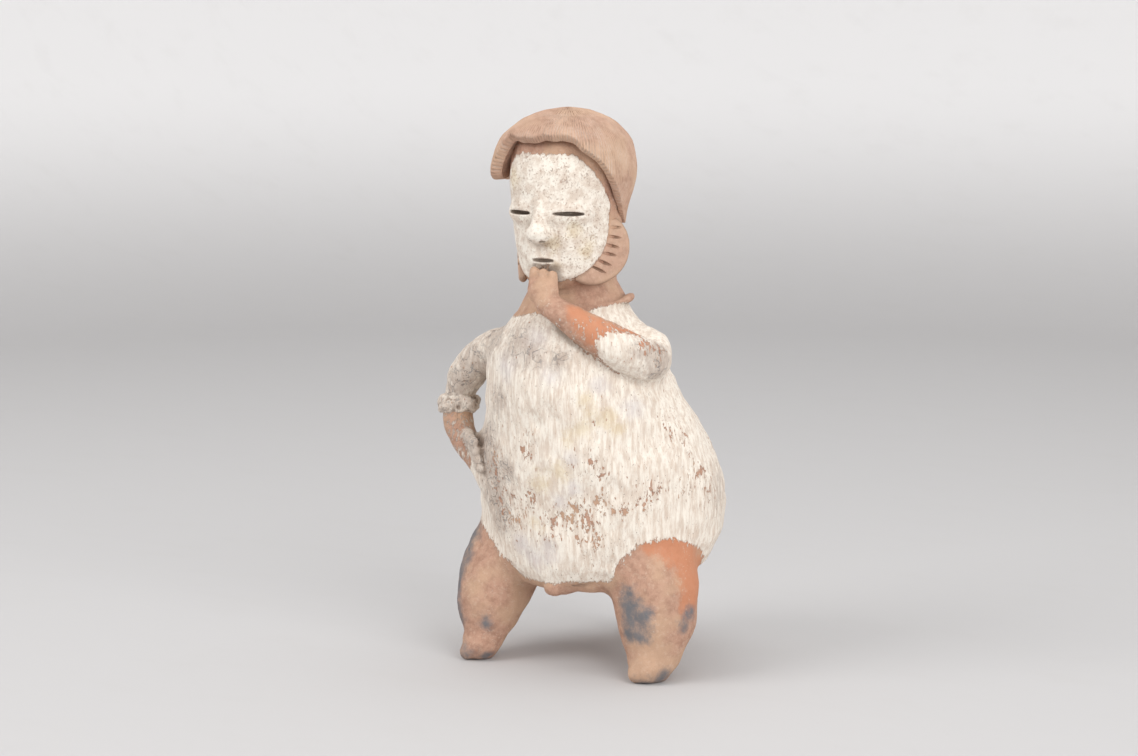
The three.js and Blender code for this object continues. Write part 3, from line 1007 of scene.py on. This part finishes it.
def fired_clay(graph, place, finish):
    """The bare fired clay: its colour, its grain and its mottling."""
    mottle = graph.noise(place, 6.0, 5.0, 0.7, seed=10)
    cloud = graph.noise(place, 30.0, 2.0, 0.5, seed=11)
    grain = graph.noise(place, 0.9, 3.0, 0.7, seed=12)
    colour = graph.mix(mottle.over(0.40, 0.66), rgba(finish.clay), rgba(finish.clay_dark))
    colour = graph.mix(cloud.over(0.42, 0.66) * 0.75, colour, rgba(finish.clay_warm))
    film = graph.noise(place, 3.4, 5.0, 0.72, seed=13).over(0.50, 0.68)
    colour = graph.mix(film * 0.42, colour, rgba(finish.dust))
    colour = graph.mix(grain.over(0.56, 0.76) * 0.4, colour, rgba(finish.dirt_and_shade))
    return colour, grain, mottle


def flaked_slip(finish):
    """White slip, brushed on thinly and flaked off in upright streaks, over fired clay with smoke clouds."""
    material, graph = new_material("flaked_slip")
    place = object_place(graph)
    names = ("slip", "face", "red", "smoke", "worn", "stain", "wash", "dull", "crease_shade")
    slip, face, red, smoke, worn, stain, wash, dull, crease_shade = (marked(graph, name) for name in names)
    body = 1 - face

    colour, grain, mottle = fired_clay(graph, place, finish)
    brushed = graph.noise(place, (1.6, 1.6, 8.0), 3.0, 0.6, seed=20)
    red_cover = (red + (mottle - 0.5) * 0.9 + (brushed - 0.5) * 0.6).over(0.30, 0.95) * 0.85
    colour = graph.mix(red_cover, colour, rgba(finish.red))
    soot = graph.noise(place, 8.0, 6.0, 0.72, seed=21)
    smoke_cover = (smoke + (soot - 0.5) * 1.5).over(0.25, 1.15)
    colour = graph.mix(smoke_cover, colour, rgba(finish.smoke))
    crust = graph.noise(place, 2.2, 5.0, 0.75, seed=22).over(0.56, 0.66)
    crust = crust * graph.noise(place, 17.0, 3.0, 0.6, seed=23).over(0.50, 0.66)
    colour = graph.mix(crust * 0.6, colour, rgba(finish.slip_thin))

    wandering = graph.noise(place, (2.6, 2.6, 5.0), 4.0, 0.7, seed=24) - 0.5
    cover = (slip + wandering * 10.0).over(-0.5, 0.5)
    broad = graph.noise(place, (34.0, 34.0, 40.0), 2.0, 0.5, seed=25) - 0.5
    wear = (worn + broad * 0.5).larger(0.0)
    streaks = graph.noise(place, (2.3, 2.3, 7.0), 3.0, 0.6, seed=26)
    flakes = (streaks - (0.70 - wear * 0.10 + face)).over(-0.008, 0.008)
    chips = graph.noise(place, (5.0, 5.0, 7.5), 5.0, 0.66, seed=27)
    flakes = flakes.larger((chips - (0.76 - worn * 0.23 + face)).over(-0.006, 0.006))
    specks = graph.noise(place, 1.5, 4.0, 0.7, seed=29)
    patchy = graph.noise(place, 11.0, 3.0, 0.6, seed=30) - 0.5
    pocked = (specks - (0.60 - patchy * 0.25)).over(-0.02, 0.04)
    flakes = flakes.larger(pocked * face * 0.6)
    kept = cover * (1 - flakes)

    thin = graph.noise(place, (3.2, 3.2, 17.0), 5.0, 0.66, seed=31)
    thin_face = graph.noise(place, 8.0, 5.0, 0.7, seed=34)
    thinned = thin * body + thin_face * face
    paint = graph.mix(thinned.over(0.38, 0.64), rgba(finish.slip), rgba(finish.slip_thin))
    lines = graph.noise(place, (0.85, 0.85, 12.0), 3.0, 0.65, seed=32)
    paint = graph.mix(lines.over(0.50, 0.72) * 0.38 * body, paint, rgba(finish.clay_warm))
    washed = (wash + (thin - 0.5) * 1.2 + patchy * 0.8).over(0.25, 1.15)
    paint = graph.mix(washed * 0.5 * body, paint, rgba(finish.wash))
    stained = (stain + patchy * 1.6 + (specks - 0.5) * 1.1).over(0.35, 1.15)
    paint = graph.mix(stained * 0.45, paint, rgba(finish.ochre))
    cloudy = graph.noise(place, (5.0, 5.0, 8.0), 5.0, 0.72, seed=35) - 0.5
    dulled = (dull + cloudy * 1.9).over(0.15, 1.2)
    paint = graph.mix(dulled * 0.75, paint, rgba(finish.drab))
    freckles = graph.noise(place, (1.3, 1.3, 2.6), 2.0, 0.6, seed=33)
    freckled = (freckles - (0.69 - dull * 0.05 - worn * 0.02)).over(-0.02, 0.03)
    paint = graph.mix(freckled * 0.65, paint, rgba(finish.dirt_and_shade))
    wander = graph.noise(place, 13.0, 3.0, 0.55, seed=36, warp=0.6)
    cracks = (1 - (wander - 0.5).math("ABSOLUTE", wander - 0.5).over(0.003, 0.014)) * dull.over(0.45, 0.9)
    paint = graph.mix(cracks * 0.55, paint, rgba(finish.smoke))
    colour = graph.mix(kept, colour, paint)
    # Painted shade: the colour is darkened towards deep brown where creases and hollows shut the surface in, broken up
    # by the grain.
    painted_crease_shade = (crease_shade + (grain - 0.5) * 0.5).over(0.15, 0.95)
    colour = graph.mix(painted_crease_shade * 0.7, colour, rgba(finish.dirt_and_shade))

    height = kept * 0.4 + grain * 0.16 + lines * 0.16 * body + mottle * 0.45 - cracks * 0.3
    rough = 0.9 - red_cover * (1 - kept) * 0.25 - smoke_cover * (1 - kept) * 0.12
    shaded(graph, colour, rough, height, {"Specular IOR Level": 0.35})
    return material


def combed_clay(finish):
    """Bare pinkish clay, paler where the comb pressed it and dust stayed, darkened in the comb grooves and deep notches
    as painted shade.
    """
    material, graph = new_material("combed_clay")
    place = object_place(graph)
    groove, outer = marked(graph, "groove"), marked(graph, "outer")
    colour, grain, mottle = fired_clay(graph, place, finish)
    colour = graph.mix(0.25, colour, rgba(finish.dust))
    dust = graph.noise(place, 15.0, 3.0, 0.6, seed=40).over(0.36, 0.62)
    colour = graph.mix(groove * dust * outer * 0.75, colour, rgba(finish.slip_thin))
    # Painted shade: comb grooves and notches are darkened where no dust lies in them.
    painted_groove_shade = groove * (1 - dust * outer)
    colour = graph.mix(painted_groove_shade * 0.5, colour, rgba(finish.dirt_and_shade))
    height = grain * 0.14 + mottle * 0.3
    shaded(graph, colour, 0.88 - mottle * 0.08, height, {"Specular IOR Level": 0.35})
    return material


def rgba(colour):
    return (*colour[:3], 1.0)


def stage_material(stage):
    """Studio paper whose colour is painted darker on the floor and paler up the wall: painted shading by height."""
    material, graph = new_material("studio_paper")
    place = object_place(graph)
    grain = graph.noise(place, 3.0, 2.0, 0.5, seed=50)
    scuffs = graph.noise(place, (90.0, 40.0, 90.0), 4.0, 0.6, seed=51).over(0.5, 0.8)
    # Painted shading: the paper's colour goes from the darker floor colour to the paler wall colour with height, and
    # scuffs are then mixed in.
    rise = place_height(graph, place).over(-40.0, 420.0)
    painted_shading_tone = graph.mix(rise, rgba(stage.floor), rgba(stage.wall))
    painted_shading_tone = graph.mix(scuffs * 0.05, painted_shading_tone, (0.45, 0.42, 0.38, 1.0))
    shaded(graph, painted_shading_tone, 0.85, grain * 0.02, {"Specular IOR Level": 0.15})
    return material


def length(name, description, default):
    return bpy.props.FloatProperty(name=name, description=description, default=default, min=0.0, unit="LENGTH",
                                   subtype="DISTANCE", precision=5)


def paint(name, description, default):
    return bpy.props.FloatVectorProperty(name=name, description=description, default=default, size=3,
                                         min=0.0, max=1.0, subtype="COLOR")


class FigureSizes(bpy.types.PropertyGroup):
    head_cell: length("Head detail", "Size of a mesh face on the head and hand", 0.00115)
    arm_cell: length("Arm detail", "Size of a mesh face on the arms and chest", 0.00195)
    belly_cell: length("Belly detail", "Size of a mesh face on the belly and legs", 0.0027)
    hand_work: length("Hand work", "Height of the unevenness that the maker's hands left", 0.0008)
    stroke_depth: length("Smoothing strokes", "Depth of the broad smoothing strokes", 0.0005)
    pit_depth: length("Pits", "Depth of the scattered pits", 0.0006)


class HairSizes(bpy.types.PropertyGroup):
    rim_round: length("Rim rounding", "How far the cut rim is rounded", 0.0032)
    strokes: bpy.props.IntProperty(
        name="Comb strokes", description="Comb strokes all the way round the rim", default=152, min=40
    )
    depth: length("Comb depth", "How deep the comb pressed", 0.0009)
    unevenness: length("Unevenness", "Height of the slab's lumps", 0.0006)


class OrnamentSizes(bpy.types.PropertyGroup):
    radius: length("Radius", "Radius of each ear ornament", 0.026)
    thick: length("Thickness", "Thickness of each ear ornament", 0.009)
    edge: length("Edge rounding", "Rounding of the ornament's edges", 0.0034)
    notches: bpy.props.IntProperty(name="Notches", description="Notches along the jaw", default=7, min=2)
    notch_long: length("Notch length", "How far each notch runs out from the jaw", 0.016)
    notch_wide: length("Notch width", "Width of each notch", 0.0026)
    notch_deep: length("Notch depth", "Depth of each notch", 0.0036)
    cell: length("Detail", "Size of a mesh face", 0.0008)
    unevenness: length("Unevenness", "Height of the lumps", 0.0004)


class BandSizes(bpy.types.PropertyGroup):
    radius: length("Radius", "Radius of the middle of the band", 0.0092)
    thick: length("Thickness", "Half thickness of the band", 0.0068)
    high: length("Height", "Half height of the band", 0.0092)
    crumble: length("Crumbling", "Height of the crumbled surface", 0.0007)
    cell: length("Detail", "Size of a mesh face", 0.0009)


class Finish(bpy.types.PropertyGroup):
    clay: paint("Clay", "Fired clay", (0.50, 0.30, 0.215))
    clay_dark: paint("Dark clay", "Darker mottling of the clay", (0.38, 0.215, 0.15))
    clay_warm: paint("Warm clay", "Tan clouds of the clay", (0.56, 0.37, 0.25))
    red: paint("Red slip", "Burnished red slip on a forearm and a leg", (0.56, 0.225, 0.115))
    smoke: paint("Smoke", "Blue-grey fire clouds", (0.155, 0.155, 0.165))
    slip: paint("White slip", "Thick white slip", (0.86, 0.80, 0.71))
    slip_thin: paint("Thin slip", "Slip brushed on thinly", (0.67, 0.57, 0.48))
    wash: paint("Grey wash", "Lilac-grey film on the slip", (0.60, 0.56, 0.57))
    drab: paint("Drab film", "Grey-brown film on the worn arm and shoulders", (0.40, 0.32, 0.27))
    ochre: paint("Ochre", "Yellow stains", (0.66, 0.52, 0.30))
    # Deep brown used for real specks and grit in the clay and slip, and also for painted shade in creases, comb grooves
    # and notches.
    dirt_and_shade: paint("Dirt", "Brown dirt in creases", (0.20, 0.135, 0.095))
    dust: paint("Dust", "Pale dusty film on the bare clay", (0.62, 0.45, 0.34))


class StageSizes(bpy.types.PropertyGroup):
    # Painted shading: the paper is one, and the darker floor colour and paler wall colour stand for how the light falls
    # on it.
    floor: paint("Floor", "Colour of the studio paper on the floor", (0.56, 0.55, 0.55))
    wall: paint("Wall", "Colour of the studio paper up the wall", (0.93, 0.92, 0.92))
    floor_radius: length("Floor radius", "Radius of the flat floor", 2.2)
    wall_radius: length("Wall radius", "Radius of the curved-up wall", 3.2)
    wall_height: length("Wall height", "Height of the wall", 1.2)
    azimuth: bpy.props.FloatProperty(
        name="Azimuth", description="Where the camera stands round the figure", default=math.radians(28),
        subtype="ANGLE", unit="ROTATION",
    )
    elevation: bpy.props.FloatProperty(
        name="Elevation", description="How far the camera looks down", default=math.radians(8),
        subtype="ANGLE", unit="ROTATION",
    )
    distance: length("Camera distance", "From the camera to what it aims at", 1.834)
    lens: bpy.props.FloatProperty(name="Lens", description="Focal length", default=75, min=1, unit="CAMERA")
    key: bpy.props.FloatProperty(
        name="Key light", description="Power of the key light", default=28, min=0, unit="POWER"
    )
    fill: bpy.props.FloatProperty(
        name="Fill light", description="Power of the fill light", default=36, min=0, unit="POWER"
    )
    top: bpy.props.FloatProperty(
        name="Top light", description="Power of the overhead light", default=20, min=0, unit="POWER"
    )
    sky: bpy.props.FloatProperty(
        name="Room light", description="Strength of the light from all round", default=0.55, min=0
    )


class TombFigure(bpy.types.PropertyGroup):
    figure: bpy.props.PointerProperty(type=FigureSizes, name="Figure", description="Sizes of the figure")
    hair: bpy.props.PointerProperty(type=HairSizes, name="Hair", description="Sizes of the hair")
    ornament: bpy.props.PointerProperty(type=OrnamentSizes, name="Ear ornaments", description="Their sizes")
    band: bpy.props.PointerProperty(type=BandSizes, name="Arm band", description="Sizes of the arm band")
    finish: bpy.props.PointerProperty(type=Finish, name="Finish", description="Colours of the pottery")
    stage: bpy.props.PointerProperty(type=StageSizes, name="Stage", description="Floor, lights and camera")


def kept_material(name, make, finish):
    """The material of that name, made the first time it is asked for."""
    return bpy.data.materials.get(name) or make(finish)


def pottery(finish):
    return kept_material("flaked_slip", flaked_slip, finish)


def plain_clay(finish):
    return kept_material("combed_clay", combed_clay, finish)


def belongs(made):
    """Ties a finished piece to the frame: it moves with the one body, and the CAD figure it takes the place of is
    hidden.
    """
    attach(made, "root")
    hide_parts("figure")


class MakeFigure(bpy.types.Operator):
    """Build the body, head, limbs and face as one skin of clay"""

    bl_idname = "tomb_figure.make_figure"
    bl_label = "Make Figure"

    def execute(self, context):
        settings = context.scene.tomb_figure
        made = make_figure_mesh(settings.figure)
        shaped_by(made, figure_relief(), {
            "Stroke depth": settings.figure.stroke_depth,
            "Pit depth": settings.figure.pit_depth,
            "Material": pottery(settings.finish),
        })
        belongs(made)
        return {"FINISHED"}


class MakeHair(bpy.types.Operator):
    """Build the slab of combed hair over the crown"""

    bl_idname = "tomb_figure.make_hair"
    bl_label = "Make Hair"

    def execute(self, context):
        settings = context.scene.tomb_figure
        made = make_hair_mesh(settings.hair)
        shaped_by(made, hair_relief(), {
            "Strokes": settings.hair.strokes,
            "Depth": settings.hair.depth,
            "Unevenness": settings.hair.unevenness,
            "Material": plain_clay(settings.finish),
        })
        belongs(made)
        return {"FINISHED"}


class MakeEarOrnaments(bpy.types.Operator):
    """Build the two notched crescents against the jaw"""

    bl_idname = "tomb_figure.make_ear_ornaments"
    bl_label = "Make Ear Ornaments"

    def execute(self, context):
        settings = context.scene.tomb_figure
        sizes = settings.ornament
        for name, side in (("left_ear_ornament", 1), ("right_ear_ornament", -1)):
            crescent = Crescent(sizes.radius / MM, sizes.thick / MM, sizes.edge / MM)
            clay = Clay(crescent.low, crescent.high)
            clay.add(crescent)
            p, quads = skin_mesh(clay, lambda z: sizes.cell / MM)
            made = mesh_object(name, p - (*NECK_AT, -SOLE_WEAR), quads, {})
            shaped_by(made, notch_relief(), {
                "Notches": sizes.notches,
                "First place": math.radians(NOTCH_PLACES[0]),
                "Last place": math.radians(NOTCH_PLACES[1]),
                "First slant": math.radians(NOTCH_SLANTS[0]),
                "Last slant": math.radians(NOTCH_SLANTS[1]),
                "Hollow X": EAR_JAW[0] * MM,
                "Hollow Y": EAR_JAW[1] * MM,
                "Hollow radius": EAR_JAW_RADIUS * MM,
                "Long": sizes.notch_long,
                "Wide": sizes.notch_wide,
                "Deep": sizes.notch_deep,
                "Face": sizes.thick / 2,
                "Unevenness": sizes.unevenness,
                "Material": plain_clay(settings.finish),
            })
            made.data.transform(ornament_place(side))
            if side < 0:
                made.data.flip_normals()
            belongs(made)
        return {"FINISHED"}


def ornament_place(side):
    """Takes the flat crescent to its place against the jaw on one side."""
    upright = Matrix.Rotation(math.radians(90), 4, "X")
    turn = Matrix.Rotation(math.radians(EAR_TURN), 4, "Z")
    there = Matrix.Translation(Vector(EAR_AT) * MM)
    neck = Matrix.Translation(Vector((*NECK_AT, -SOLE_WEAR)) * MM)
    return neck @ Matrix.Diagonal((side, 1, 1, 1)) @ there @ turn @ upright


class MakeArmBand(bpy.types.Operator):
    """Build the crumbled band on the figure's right arm"""

    bl_idname = "tomb_figure.make_arm_band"
    bl_label = "Make Arm Band"

    def execute(self, context):
        settings = context.scene.tomb_figure
        sizes = settings.band
        cuff = Cuff(sizes.radius / MM, sizes.thick / MM, sizes.high / MM)
        clay = Clay(cuff.low - 6, cuff.high + 8)
        clay.add(cuff)
        for at, size in BAND_LUMPS:
            clay.add(Lump(at, size), 3)
        p, quads = skin_mesh(clay, lambda z: sizes.cell / MM)
        out = clay.slope(p)
        rough = unevenness(p, 5, 21) + 0.6 * unevenness(p, 2.2, 22)
        p += out * (rough * sizes.crumble / MM)[:, None]
        tilt = Matrix.Rotation(math.radians(BAND_TILT), 3, "Y")
        p = p @ np.array(tilt).T + BAND_AT
        marks = {name: np.full(len(p), value) for name, value in BAND_MARKS.items()}
        # The band is darkened where its crumbled surface sinks: painted shade in the dips.
        marks["crease_shade"] = np.clip(-rough - 0.5, 0, 0.8)
        made = mesh_object("arm_band", p, quads, marks)
        made.data.materials.append(pottery(settings.finish))
        belongs(made)
        return {"FINISHED"}


class MakeStage(bpy.types.Operator):
    """Build the studio floor with its curved-up wall, the lights and the camera"""

    bl_idname = "tomb_figure.make_stage"
    bl_label = "Make Stage"

    def execute(self, context):
        stage = context.scene.tomb_figure.stage
        make_floor(stage)
        make_lights(context.scene, stage)
        make_camera(context.scene, stage)
        context.scene.view_settings.view_transform = "Standard"
        return {"FINISHED"}


def make_floor(stage):
    """A bowl: a flat floor whose edge curves up into a wall."""
    around, bend = 96, 24
    rise = stage.wall_radius - stage.floor_radius
    profile = [(stage.floor_radius * share, 0.0) for share in np.linspace(0.02, 1, 16)]
    for turn in np.linspace(0, math.pi / 2, bend)[1:]:
        profile.append((stage.floor_radius + rise * math.sin(turn), rise * (1 - math.cos(turn))))
    profile.append((stage.wall_radius, stage.wall_height))
    angles = np.arange(around) * math.tau / around
    rings = [[(r * math.cos(a), r * math.sin(a), z) for a in angles] for r, z in profile]
    points = [(0, 0, 0), *(point for ring in rings for point in ring)]
    faces = []
    for a in range(around):
        b = (a + 1) % around
        faces.append((0, 1 + a, 1 + b))
        for row in range(len(rings) - 1):
            near, far = 1 + row * around, 1 + (row + 1) * around
            faces.append((near + a, far + a, far + b, near + b))
    mesh = bpy.data.meshes.new("studio_floor")
    mesh.from_pydata(points, [], faces)
    mesh.shade_smooth()
    mesh.materials.append(stage_material(stage))
    made = bpy.data.objects.new("studio_floor", mesh)
    bpy.context.scene.collection.objects.link(made)


def make_lights(scene, stage):
    middle = (CAD_BOX[0] + CAD_BOX[1]) / 2
    for name, power, at, size in (
        ("key", stage.key, (-1.3, -1.6, 1.8), 1.4),
        ("fill", stage.fill, (2.0, -1.2, 1.2), 1.8),
        ("top", stage.top, (0.1, 0.3, 2.5), 2.4),
    ):
        light = bpy.data.lights.new(name, "AREA")
        light.energy = power
        light.size = size
        made = bpy.data.objects.new(name, light)
        made.location = at
        made.rotation_euler = (middle - Vector(at)).to_track_quat("-Z", "Y").to_euler()
        scene.collection.objects.link(made)
    world = bpy.data.worlds.new("room")
    world.use_nodes = True
    background = world.node_tree.nodes["Background"]
    background.inputs["Color"].default_value = (1.0, 0.995, 0.99, 1.0)
    background.inputs["Strength"].default_value = stage.sky
    scene.world = world


def make_camera(scene, stage):
    camera = bpy.data.cameras.new("camera")
    camera.lens = stage.lens
    camera.sensor_width = 36
    made = bpy.data.objects.new("camera", camera)
    flat = math.cos(stage.elevation)
    back = Vector((math.sin(stage.azimuth) * flat, -math.cos(stage.azimuth) * flat, math.sin(stage.elevation)))
    made.location = Vector(world(AIM)) + back * stage.distance
    made.rotation_euler = (-back).to_track_quat("-Z", "Y").to_euler()
    scene.collection.objects.link(made)
    scene.camera = made


STEPS = (MakeFigure, MakeHair, MakeEarOrnaments, MakeArmBand, MakeStage)


class TombFigurePanel(bpy.types.Panel):
    """Lists what is made and its sizes"""

    bl_idname = "VIEW3D_PT_tomb_figure"
    bl_label = "Tomb Figure"
    bl_space_type = "VIEW_3D"
    bl_region_type = "UI"
    bl_category = "Tomb Figure"

    def draw(self, context):
        settings = context.scene.tomb_figure
        for step, part in zip(STEPS, ("figure", "hair", "ornament", "band", "stage")):
            box = self.layout.box()
            box.operator(step.bl_idname)
            for name in getattr(settings, part).__annotations__:
                box.prop(getattr(settings, part), name)
        box = self.layout.box()
        for name in settings.finish.__annotations__:
            box.prop(settings.finish, name)


CLASSES = (
    FigureSizes, HairSizes, OrnamentSizes, BandSizes, Finish, StageSizes, TombFigure, *STEPS, TombFigurePanel,
)


def register():
    for each in CLASSES:
        bpy.utils.register_class(each)
    bpy.types.Scene.tomb_figure = bpy.props.PointerProperty(type=TombFigure)


def unregister():
    del bpy.types.Scene.tomb_figure
    for each in reversed(CLASSES):
        bpy.utils.unregister_class(each)


def main():
    register()
    for step in STEPS:
        group, name = step.bl_idname.split(".")
        getattr(getattr(bpy.ops, group), name)()


if __name__ == "__main__":
    main()
